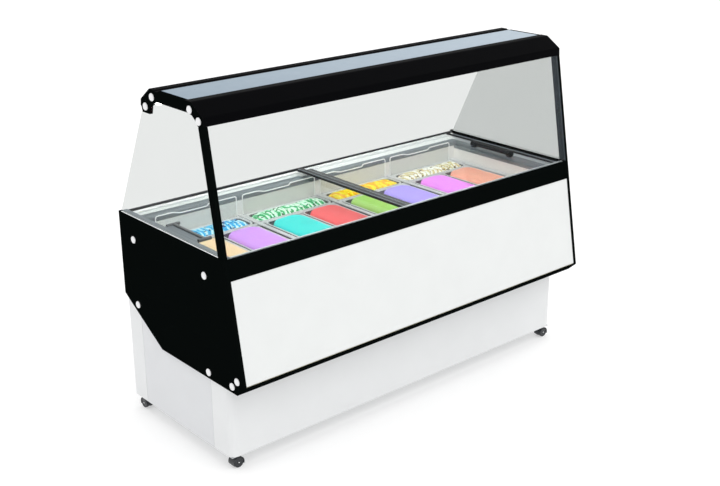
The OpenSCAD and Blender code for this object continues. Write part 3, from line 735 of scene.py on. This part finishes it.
def liner_trim():
    """Steel strip over the liner's top edge, turned down at the ends, in darkened steel as painted shade,
    and a flat dark strip on the rim as painted shade of the groove by the lower rail.
    """
    (left, front, _), (right, back, top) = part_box("inner_liner")
    left, front = left + LINER_SHEET, front + LINER_SHEET
    right, back = right - LINER_SHEET, back - LINER_SHEET
    thin, gap, turned_down = 0.7 * MM, 0.1 * MM, 12 * MM
    outer = (MOUTH_HALF, MOUTH_FRONT, MOUTH_BACK)
    inner = (right - thin, front + thin, back - thin)
    rings = [
        [(px, py, top + z) for px, py in ((x, y0), (x, y1), (-x, y1), (-x, y0))]
        for (x, y0, y1), z in ((outer, gap), (outer, thin), (inner, thin), (inner, gap))
    ]
    # trim in darkened steel: painted shade
    parts = [loft("trim_top", rings + [rings[0]], SHADED_STEEL)]
    for name, x0, x1 in (("trim_left", left + gap, left + thin), ("trim_right", right - thin, right - gap)):
        parts.append(slab(name, (x0, front + 2 * gap, top - turned_down),
                          (x1, back - 2 * gap, top + 3 * gap), SHADED_STEEL))
    rim = top + COLLAR_H
    # a flat dark strip, not a recess: painted shade of a groove
    parts.append(slab("groove", (1 * MM - MOUTH_HALF, MOUTH_BACK + 11 * MM, rim - 2 * gap),
                      (-60 * MM, MOUTH_BACK + 25 * MM, rim + 2 * gap), LEDGE))
    return joined("liner_trim", parts)


rest_on(sharpen(collar_piece(), 30), "root", "steel", "top_collar")
rest_on(sharpen(liner_trim(), 30), "root", "steel")


def rear_rail():
    """Drawn rail: a bright rounded face, its brightness a glowing painted highlight, under a dark top
    strip, with the fin between the lids.
    """
    (x0, y0, z0), (x1, y1, z1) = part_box("rail_rear")
    face, head, fin = y1 - 9 * MM, z1 - 8 * MM, z0 + 11 * MM
    fin_t, soft, bend = 1 * MM, 0.4 * MM, 1.2 * MM
    bright = [
        (y1, z0), (face, z0), (face, fin), (y0 + soft, fin), (y0, fin + fin_t / 2),
        (y0 + soft, fin + fin_t), (face, fin + fin_t), (face, head - 1 * MM),
        (face + 0.5 * MM, head), (y1, head),
    ]
    dark = [(y1, head), (face + 2 * soft, head), (face, head + 2 * soft)]
    dark += arc(face + bend, z1 - bend, bend, 180, 90, 3)
    dark += [(y1 - 0.6 * MM, z1), (y1, z1 - 0.6 * MM)]
    return joined("rear_rail_drawn", [
        loft(name, [[(x, y, z) for y, z in outline] for x in (x0, x1)], material, True, True)
        for name, outline, material in (("face", bright, PAINTED_HIGHLIGHT_STEEL), ("top", dark, RAIL))])


rest_on(sharpen(rear_rail(), 30), "root", "steel", "rail_rear")


def glass_seal(s):
    """Pale bead along the foot of a side glass and up its front edge."""
    (_, _, foot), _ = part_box("side_glass_left")
    corner, top, back = (-255.5 * MM, foot), (-183.5 * MM, 1186 * MM), (344 * MM, foot)
    outside, inside = (826.1 * MM, 828.6 * MM, 0.3 * MM), (817.6 * MM, 819.4 * MM, 0.3 * MM)
    if s < 0:
        inside = (819.6 * MM, 819.9 * MM, 0)
    beads = []
    for name, (x0, x1, chamfer) in (("out", outside), ("in", inside)):
        rings = []
        for (y, z), (dy, dz) in ((back, (0, 1)), (corner, (0.9, 1)), (top, (1, 0))):
            low = (y, z + 0.1 * MM * dz)
            high = (y + dy * 2 * MM, z + dz * 2 * MM)
            rings.append([(s * x, *q) for x, q in (
                (x0, low), (x1, low), (x1 - 0.3 * MM, high), (x0 + chamfer, high))])
        beads.append(loft(f"bead_{name}", rings, SEAL, True, True))
    return joined("glass_seal_" + ("right" if s > 0 else "left"), beads)


for s in (-1, 1):
    rest_on(sharpen(glass_seal(s), 30), "root", "cap_white")

# ---------------------------------------------------------------- lids


def capsule(name, length, r, material, flat):
    """Rod along Z with softly rounded ends."""
    end = min(r * flat, length / 2)
    half = length / 2
    profile = [(0, -half)] + arc(r - end, -half + end, end, -90, 0, 5)
    profile += arc(r - end, half - end, end, 0, 90, 5) + [(0, half)]
    return lathe(name, profile, material, 28)


def left_handle():
    """Bar between two cross pieces, with a pale wing beside it and a web under it; the bar's sides are dark
    as painted shade below its pale top.
    """
    (_, y0, z0), (x1, y1, z1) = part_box("lid_left_handle")
    x, r = x1 - 26 * MM, 6 * MM
    cross_l = 51 * MM
    stop = [(0, 0), (4.8 * MM, 0), (4.4 * MM, 0.5 * MM), (0, 0.5 * MM)]
    parts = []
    for y in (y0 + r, y1 - r):
        turned = at(x, y, z1 - r) @ turn(90, "Y")
        parts.append(place(capsule("cross", cross_l, r, HANDLE, 0.12), turned))
        for s in (-1, 1):
            end = turned @ turn(90 - 90 * s, "X") @ at(0, 0, cross_l / 2)
            parts.append(place(lathe("stop", stop, DARK, 24), end))
    half, low, split = 5.5 * MM, z0 + 11 * MM, z1 - 3.5 * MM
    bevel, bend = 2 * MM, 2.5 * MM
    # bar in two colours: dark below the split as painted shade, pale above it
    lower = [(x + half, split), (x - half, split), (x - half, low + bevel), (x - half + bevel, low),
             (x + half - bevel, low), (x + half, low + bevel)]
    upper = [(x - half, split)] + arc(x - half + bend, z1 - bend, bend, 180, 90, 4)
    upper += arc(x + half - bend, z1 - bend, bend, 90, 0, 4) + [(x + half, split)]
    web_half, web_high, web_end = 3 * MM, low + 1 * MM, 38 * MM
    web = [(x - web_half, z0), (x + web_half, z0), (x + web_half, web_high), (x - web_half, web_high)]
    wing_in, wing_out, wing_t, soft = x - half + 0.3 * MM, x - 32 * MM, 2.5 * MM, 0.6 * MM
    top = z0 + 16 * MM
    wing = [(wing_in, top - wing_t), (wing_in, top), (wing_out + soft, top), (wing_out, top - soft),
            (wing_out, top - wing_t + soft), (wing_out + soft, top - wing_t)]
    for name, outline, cut, material in (("bar_shaded_side", lower, 0, DARK), ("bar_high", upper, 0, HANDLE),
                                         ("wing", wing, 0, LEDGE), ("web", web, web_end, DARK)):
        rings = [[(px, y, pz) for px, pz in outline] for y in (y0 + r + cut, y1 - r - cut)]
        parts.append(loft(name, rings, material, True, True))
    return joined("left_handle_moulded", parts)


def right_handle():
    """Thick bar with larger ends."""
    (x0, y0, z0), (x1, y1, z1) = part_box("lid_right_handle")
    x, y, r, end_l = (x0 + x1) / 2, (y0 + y1) / 2, 12.5 * MM, 30 * MM
    foot = ((18 * MM, 24 * MM, z0), (18 * MM, 24 * MM, z0 + 3 * MM), (16 * MM, 22 * MM, z1 - r))
    parts = []
    for ey in (y0 + end_l / 2, y1 - end_l / 2):
        parts.append(place(capsule("end", end_l, r, GRIP, 0.4), at(x, ey, z1 - r) @ turn(90, "X")))
        rings = [[(x + px, ey + py, z) for px, py in ring_points(w, l, 3 * MM, 3)] for w, l, z in foot]
        parts.append(loft("foot", rings, GRIP, cap_first=True, cap_last=True))
    reach = 0.4 * (y1 - y0)
    bar = lathe("bar", [(9.5 * MM, -reach), (9.2 * MM, 0), (9.5 * MM, reach)], GRIP, 28)
    parts.append(place(bar, at(x, y, z1 - r) @ turn(90, "X")))
    return joined("right_handle_moulded", parts)


rest_on(sharpen(left_handle(), 40), "lid_left", "handle_plastic", "lid_left_handle")
rest_on(sharpen(right_handle(), 40), "lid_right", "handle_plastic", "lid_right_handle")
for side in ("left", "right"):
    rounded(f"lid_{side}_frame", RAIL, "dark_rail", small_edges(1.2 * MM))
    (x0, y0, _), (x1, y1, top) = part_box(f"lid_{side}_frame")
    inner_end = x1 - 24 * MM if side == "left" else x0
    rib = [(inner_end + x * MM, top + z * MM) for x, z in (
        (1.6, -0.2), (1.8, 0.5), (2.4, 0.7), (5.6, 0.7), (6.2, 0.5), (6.4, -0.2))]
    rib_piece = loft(f"lid_{side}_rib", [[(x, y, z) for x, z in rib] for y in (y0 + 2 * MM, y1 - 2 * MM)],
                     LEDGE, True, True)
    rest_on(sharpen(rib_piece, 30), f"lid_{side}", "dark_rail")
    rounded(f"lid_{side}_glass", LID_GLASS, "glass", small_edges(0.6 * MM), segments=2)

# ---------------------------------------------------------------- pans


def pan_piece(name, w, l, x, y):
    """Pressed pan: rolled flange, slightly tapering walls and a rounded bottom."""
    inner_w, inner_l = w - 2 * PAN_FLANGE, l - 2 * PAN_FLANGE
    r_in = PAN_CORNER - PAN_FLANGE
    steps = [
        (w - 1 * MM, l - 1 * MM, PAN_CORNER, -1.9 * MM),
        (w, l, PAN_CORNER, -1.2 * MM),
        (w - 0.6 * MM, l - 0.6 * MM, PAN_CORNER, -0.3 * MM),
        (w - 2.4 * MM, l - 2.4 * MM, PAN_CORNER - 1 * MM, 0),
        (inner_w + 5 * MM, inner_l + 5 * MM, r_in + 2.5 * MM, -0.2 * MM),
        (inner_w + 1.6 * MM, inner_l + 1.6 * MM, r_in + 0.8 * MM, -1.2 * MM),
        (inner_w, inner_l, r_in, -4 * MM),
        (inner_w - 3 * MM, inner_l - 3 * MM, r_in, 8 * MM - PAN_DEPTH),
        (inner_w - 8 * MM, inner_l - 8 * MM, r_in, 2.5 * MM - PAN_DEPTH),
        (inner_w - 18 * MM, inner_l - 18 * MM, r_in, 1.2 * MM - PAN_DEPTH),
    ]
    rings = [[(px, py, z) for px, py in ring_points(sw, sl, sr)] for sw, sl, sr, z in steps]
    obj = loft(name, rings, PAN_METAL_SHADED, cap_last=True)
    solid = obj.modifiers.new("wall", "SOLIDIFY")
    solid.thickness = 0.8 * MM
    solid.offset = 1.0
    return place(obj, at(x, y, PAN_TOP))


def own_shape(parts):
    """Applies each part's modifiers to its mesh."""
    graph = bpy.context.evaluated_depsgraph_get()
    for part in parts:
        baked = bpy.data.meshes.new_from_object(part.evaluated_get(graph))
        part.modifiers.clear()
        part.data = baked
    return parts


front, rear = [], []
for g, x in enumerate(GROUP_X):
    for s in (-1, 1):
        front.append(pan_piece(f"pan_{g}_{s}", FRONT_PAN["w"], FRONT_PAN["l"], x + s * FRONT_PAN["offset"],
                               FRONT_PAN["y"]))
    rear.append(pan_piece(f"pan_{g}_rear", REAR_PAN["w"], REAR_PAN["l"], x, REAR_PAN["y"]))
rest_on(sharpen(joined("front_pans_pressed", own_shape(front)), 50), "root", "pan_steel", "front_pans")
rest_on(sharpen(joined("rear_pans_pressed", own_shape(rear)), 50), "root", "pan_steel", "rear_pans")
rounded("pan_dividers", PAN_STEEL, "pan_steel", small_edges(0.8 * MM))

# ---------------------------------------------------------------- ice cream

FRONT_SHADES = {
    "peach": (1.0, 0.72, 0.44), "purple": (0.72, 0.34, 1.0), "turquoise": (0.03, 0.77, 0.73),
    "red": (1.0, 0.125, 0.135), "green": (0.42, 0.73, 0.16), "violet": (0.46, 0.35, 0.97),
    "magenta": (0.92, 0.27, 0.98), "salmon": (1.0, 0.42, 0.3),
}


def skirted(name, verts, nx, ny, material):
    """Closes a grid of points with straight walls down into the pan and a flat bottom."""
    row = nx + 1
    faces = [(a, a + 1, a + row + 1, a + row) for j in range(ny) for a in range(j * row, j * row + nx)]
    rim = list(range(row)) + [(j + 1) * row - 1 for j in range(1, ny + 1)]
    rim += [ny * row + i for i in range(nx - 1, -1, -1)] + [j * row for j in range(ny - 1, 0, -1)]
    base, n, bottom = len(verts), len(rim), PAN_TOP - 60 * MM
    verts = verts + [(verts[k][0], verts[k][1], bottom) for k in rim]
    faces += [(rim[k], base + k, base + (k + 1) % n, rim[(k + 1) % n]) for k in range(n)]
    faces.append(tuple(base + k for k in range(n)))
    return mesh_from(name, verts, faces, material)


def front_mound(name, x, y, w, l, seed, material):
    """Smoothed loaf whose back end is rounded in plan and stops short of the pan's back wall."""
    nx, ny = 30, 60
    crown, edge, gap = 10 * MM, -7 * MM, 7 * MM
    bulge, corner = 46 * MM, PAN_CORNER - PAN_FLANGE
    verts = []
    for j in range(ny + 1):
        v = j / ny
        py = -l / 2 + v * (l - gap)
        into_end = max(0.0, (py - (l / 2 - gap - bulge)) / bulge)
        narrow = 0.06 + 0.94 * max(0.0, 1 - into_end ** 2) ** 0.5
        short = max(0.0, corner - (py + l / 2))
        narrow -= (corner - (corner ** 2 - short ** 2) ** 0.5) / (w / 2)
        for i in range(nx + 1):
            u = math.sin((i / nx - 0.5) * math.pi)
            px = u * narrow * w / 2
            side = max(0.0, 1 - abs(u) ** 7) ** 0.5
            back = max(0.0, 1 - into_end ** 7) ** 0.5
            front = min(1.0, v / 0.03 + 0.15) ** 0.5
            height = side * back * front
            lumps = noise.noise(Vector((px * 22 + seed, py * 13, seed))) * 1.3 * MM
            smear = noise.noise(Vector((px * 100 + seed, py * 12, seed * 2))) * 0.6 * MM
            z = edge + (crown - edge) * height + (lumps + smear) * height
            verts.append((x + px, y + py, PAN_TOP + min(z, crown)))
    return skirted(name, verts, nx, ny, material)


def worked(name, group, lit_and_shaded_tones, spot, scale=15.0):
    """Rippled material for the rear portion of a group, its arcs centred to the left of the pan."""
    return rippled(name, (GROUP_X[group] - 240 * MM, REAR_PAN["y"] - 30 * MM), lit_and_shaded_tones, spot, scale)


# Rear flavours: darkest, middle and lightest tone, where the darkest is painted shade and the lightest
# painted highlight on the folds; then the spots' colour, if any
REAR_SHADES = {
    "blue": worked("ice_blue", 0, ((0.01, 0.42, 0.86), (0.13, 0.74, 1.0), (0.66, 0.95, 1.0)),
                   (0.002, 0.02, 0.16)),
    "mint": worked("ice_mint", 1, ((0.01, 0.4, 0.11), (0.26, 0.88, 0.48), (0.8, 1.0, 0.87)),
                   (0.0, 0.09, 0.02)),
    "yellow": worked("ice_yellow", 2, ((0.95, 0.45, 0.0), (1.0, 0.76, 0.0), (1.0, 0.83, 0.02)), None, 11.0),
    "cream": worked("ice_vanilla", 3, ((0.72, 0.6, 0.28), (0.93, 0.89, 0.7), (0.98, 0.97, 0.9)),
                    (0.16, 0.09, 0.01)),
}
FOLDS = {"blue": 15, "mint": 13, "yellow": 9, "cream": 15}


def rear_mound(name, x, y, w, l, seed, material, folds):
    """Spatula-worked portion: overlapping curved folds heaped along the pan."""
    nx, ny = 150, 44
    verts = []
    top = 16 * MM
    for j in range(ny + 1):
        v = j / ny * 2 - 1
        for i in range(nx + 1):
            u = i / nx * 2 - 1
            taper = 1 - 0.35 * max(0.0, (abs(u) - 0.8) / 0.2) ** 2
            px, py = u * w / 2, v * taper * l / 2
            end = max(0.0, 1 - abs(u) ** 8) ** 0.5
            side = max(0.0, 1 - abs(v) ** 3.4) ** 0.6
            wander = noise.noise(Vector((px * 12 + seed, py * 16, seed))) * 1.4
            phase = (u * folds / 2 + 0.75 * v * v + 0.35 * v + wander * 0.55) % 1.0
            fold = phase ** 1.8 if phase < 0.85 else (1 - phase) / 0.15 * 0.85 ** 1.8
            heap = noise.noise(Vector((px * 9, py * 5, seed * 3))) * 4 * MM
            fine = noise.noise(Vector((px * 90, py * 70, seed))) * 0.9 * MM
            z = -14 * MM + (18 * MM + heap + 9 * MM * fold) * end * side + fine
            verts.append((x + px, y + py, PAN_TOP + min(z, top)))
    return skirted(name, verts, nx, ny, material)


def filling(pan):
    """Width and length of the ice cream in a pan."""
    return [pan[side] - 2 * PAN_FLANGE - 1.5 * MM for side in ("w", "l")]


portions = []
for i, (kind, colour) in enumerate(FRONT_SHADES.items()):
    px = GROUP_X[i // 2] + (-1 if i % 2 == 0 else 1) * FRONT_PAN["offset"]
    material = creamy("ice_" + kind, colour)
    portions.append(front_mound("ice_cream_" + kind, px, FRONT_PAN["y"], *filling(FRONT_PAN), 3.7 * i + 1,
                                material))
for i, (kind, material) in enumerate(REAR_SHADES.items()):
    portions.append(rear_mound("ice_cream_" + kind, GROUP_X[i], REAR_PAN["y"], *filling(REAR_PAN),
                               5.1 * i + 2, material, FOLDS[kind]))
for obj in portions:
    rest_on(obj, "root", obj.name.replace("ice_cream_", "ice_"))
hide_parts("front_ice_cream")
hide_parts("rear_ice_cream")

# ---------------------------------------------------------------- guards

rounded("pan_guards", GUARD, "guard_clear", small_edges(0.5 * MM), segments=2)


def guard_outline():
    """Rounded outline of one guard up one side, over its top and down the other side."""
    (_, _, low), (_, _, top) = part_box("pan_guards")
    half, dip, inset = 174 * MM, top - 8.5 * MM, 1.9 * MM
    corners = [(half, low), (half, top), (54 * MM, top), (48 * MM, dip),
               (-70 * MM, dip), (-104 * MM, top), (-half, top), (-half, low)]
    corners = [Vector((x + (inset if x < 0 else -inset), z + (inset if z == low else -inset)))
               for x, z in corners]
    path = [corners[0]]
    for before, here, after in zip(corners, corners[1:], corners[2:]):
        reach = min(10 * MM, (before - here).length * 0.4, (after - here).length * 0.4)
        a, b = here + (before - here).normalized() * reach, here + (after - here).normalized() * reach
        path += [a.lerp(here, t / 4).lerp(here.lerp(b, t / 4), t / 4) for t in range(5)]
    return path + [corners[-1]]


# guard edges as white glowing tubes: painted highlight on the clear sheets' edges
edges = []
guard_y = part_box("pan_guards")[0][1]
for g, x in enumerate(GROUP_X):
    line = [(x + p.x, guard_y + 1.2 * MM, p.y) for p in guard_outline()]
    edges.append(sweep(f"guard_edge_{g}", line, 1.9 * MM, GUARD_EDGE_HIGHLIGHT, 8))
rest_on(joined("pan_guard_edges", edges), "root", "guard_clear")

# ---------------------------------------------------------------- screw caps

caps = []
cap_profile = [(0, 0), (13 * MM, 0), (13 * MM, 1.2 * MM), (12.6 * MM, 2.4 * MM), (11.4 * MM, 3.4 * MM),
               (9 * MM, 4.2 * MM), (5.5 * MM, 4.8 * MM), (0, 5 * MM)]
panel_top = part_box("side_panel_left")[1][2]
canopy_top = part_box("canopy_hood")[1][2]
half_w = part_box("side_panel_right")[1][0]
cap_places = [
    (270 * MM, panel_top - 85 * MM), (-171 * MM, panel_top - 85 * MM), (272 * MM, 450 * MM),
    (-166 * MM, 349 * MM), (-302 * MM, 349 * MM), (-331 * MM, 377 * MM),
    (79 * MM, canopy_top - 26 * MM), (122 * MM, canopy_top - 64 * MM),
    (-141 * MM, canopy_top - 27 * MM), (-189 * MM, canopy_top - 55 * MM),
]
for s in (-1, 1):
    for k, (cy, cz) in enumerate(cap_places):
        cap = lathe(f"cap_{s}_{k}", cap_profile, CAP_WHITE)
        caps.append(place(cap, at(s * half_w, cy, cz) @ turn(90 * s, "Y")))
rest_on(sharpen(joined("screw_caps_domed", caps), 50), "root", "cap_white", "screw_caps")

# ---------------------------------------------------------------- castors


def castor(corner):
    """Hood, twin wheels and axle of one castor."""
    end, side = corner.split("_")
    sx = -1 if side == "left" else 1
    home = at(sx * CASTOR_X, CASTOR_Y[end], 0) @ turn(180 if end == "back" else 90, "Z")
    wheels = []
    r, half, bend, shoulder = WHEEL_R, 6 * MM, 2 * MM, 2.5 * MM
    for s in (-1, 1):
        middle = home @ at(s * 10.5 * MM, -TRAIL, r) @ turn(90 * s, "Y")
        rim = [(0, -half), (r - bend, -half)] + arc(r - bend, -half + bend, bend, -60, 0, 3)
        rim += arc(r - shoulder, half - shoulder, shoulder, 0, 90, 4)
        rim += [(r - 4.5 * MM, half), (r - 5.5 * MM, half - 1.4 * MM), (7 * MM, half - 1.6 * MM),
                (6 * MM, half - 0.4 * MM), (0, half - 0.4 * MM)]
        wheels.append(place(lathe(f"wheel_{s}", rim, CASTOR, 48), middle))
        hub = [(0, 0)] + arc(0, -2.2 * MM, 3.8 * MM, 90, 35, 5) + [(3.4 * MM, -1 * MM)]
        wheels.append(place(lathe(f"hub_{s}", hub, HUB, 24), middle @ at(0, 0, half - 1.2 * MM)))
    axle = lathe("axle", [(0, -5 * MM), (3 * MM, -5 * MM), (3 * MM, 5 * MM), (0, 5 * MM)], HUB, 24)
    wheels.append(place(axle, home @ at(0, -TRAIL, r) @ turn(90, "Y")))
    rest_on(sharpen(joined(f"twin_wheels_{corner}", wheels), 40), "wheels_" + corner, "castor_grey",
            "castor_wheels_" + corner)
    rounded("castor_fork_" + corner, CASTOR, "castor_grey", steep_edges(0.7 * MM, 50))


for corner in ("front_left", "front_right", "back_left", "back_right"):
    castor(corner)

# ---------------------------------------------------------------- floor, light and camera


def stage_plane():
    """Pale floor that glows a little, so that it shows as a white page."""
    size = 14.0
    mesh = bpy.data.meshes.new("studio_floor")
    corners = [(-size, -size, 0), (size, -size, 0), (size, size, 0), (-size, size, 0)]
    mesh.from_pydata(corners, [], [(0, 1, 2, 3)])
    floor = bpy.data.objects.new("studio_floor", mesh)
    bpy.context.scene.collection.objects.link(floor)
    n = Nodes("floor_pale")
    base = n.ramp(n.noise(0.7, 2.0), [(0.3, (0.62, 0.62, 0.62)), (0.7, (0.63, 0.63, 0.63))])
    n.feed(Base_Color=base)
    n.set(Roughness=1.0, Emission_Strength=0.42, Emission_Color=(1, 1, 1, 1))
    mesh.materials.append(n.material)


def studio_world(strength):
    """Even white light from all round."""
    world = bpy.data.worlds.new("studio")
    world.use_nodes = True
    bpy.context.scene.world = world
    world.node_tree.nodes["Background"].inputs["Color"].default_value = (1, 1, 1, 1)
    world.node_tree.nodes["Background"].inputs["Strength"].default_value = strength


def soft_sun(name, source, strength, spread):
    """Broad overhead light; source is the direction it comes from."""
    data = bpy.data.lights.new(name, "SUN")
    data.energy = strength
    data.angle = math.radians(spread)
    lamp = bpy.data.objects.new(name, data)
    bpy.context.scene.collection.objects.link(lamp)
    lamp.rotation_mode = "QUATERNION"
    lamp.rotation_quaternion = (-Vector(source)).to_track_quat("-Z", "Y")


def photo_camera():
    """Camera at the photograph's viewing angle, a little left of the front and above."""
    azimuth, elevation, roll = map(math.radians, (-40.79, 20.59, -0.28))
    data = bpy.data.cameras.new("camera")
    data.lens, data.sensor_width = 56.8, 36.0
    data.clip_start, data.clip_end = 0.05, 60.0
    camera = bpy.data.objects.new("camera", data)
    bpy.context.scene.collection.objects.link(camera)
    back = Vector((math.sin(azimuth) * math.cos(elevation), -math.cos(azimuth) * math.cos(elevation),
                   math.sin(elevation)))
    camera.rotation_mode = "QUATERNION"
    rolled = Matrix.Rotation(roll, 4, "Z").to_quaternion()
    camera.rotation_quaternion = (-back).to_track_quat("-Z", "Y") @ rolled
    camera.location = (-2.657, -3.055, 2.075)
    bpy.context.scene.camera = camera


stage_plane()
studio_world(1.0)
soft_sun("key", (0.1, -0.8, 1.3), 0.62, 50)
photo_camera()
bpy.context.scene.view_settings.view_transform = "Standard"
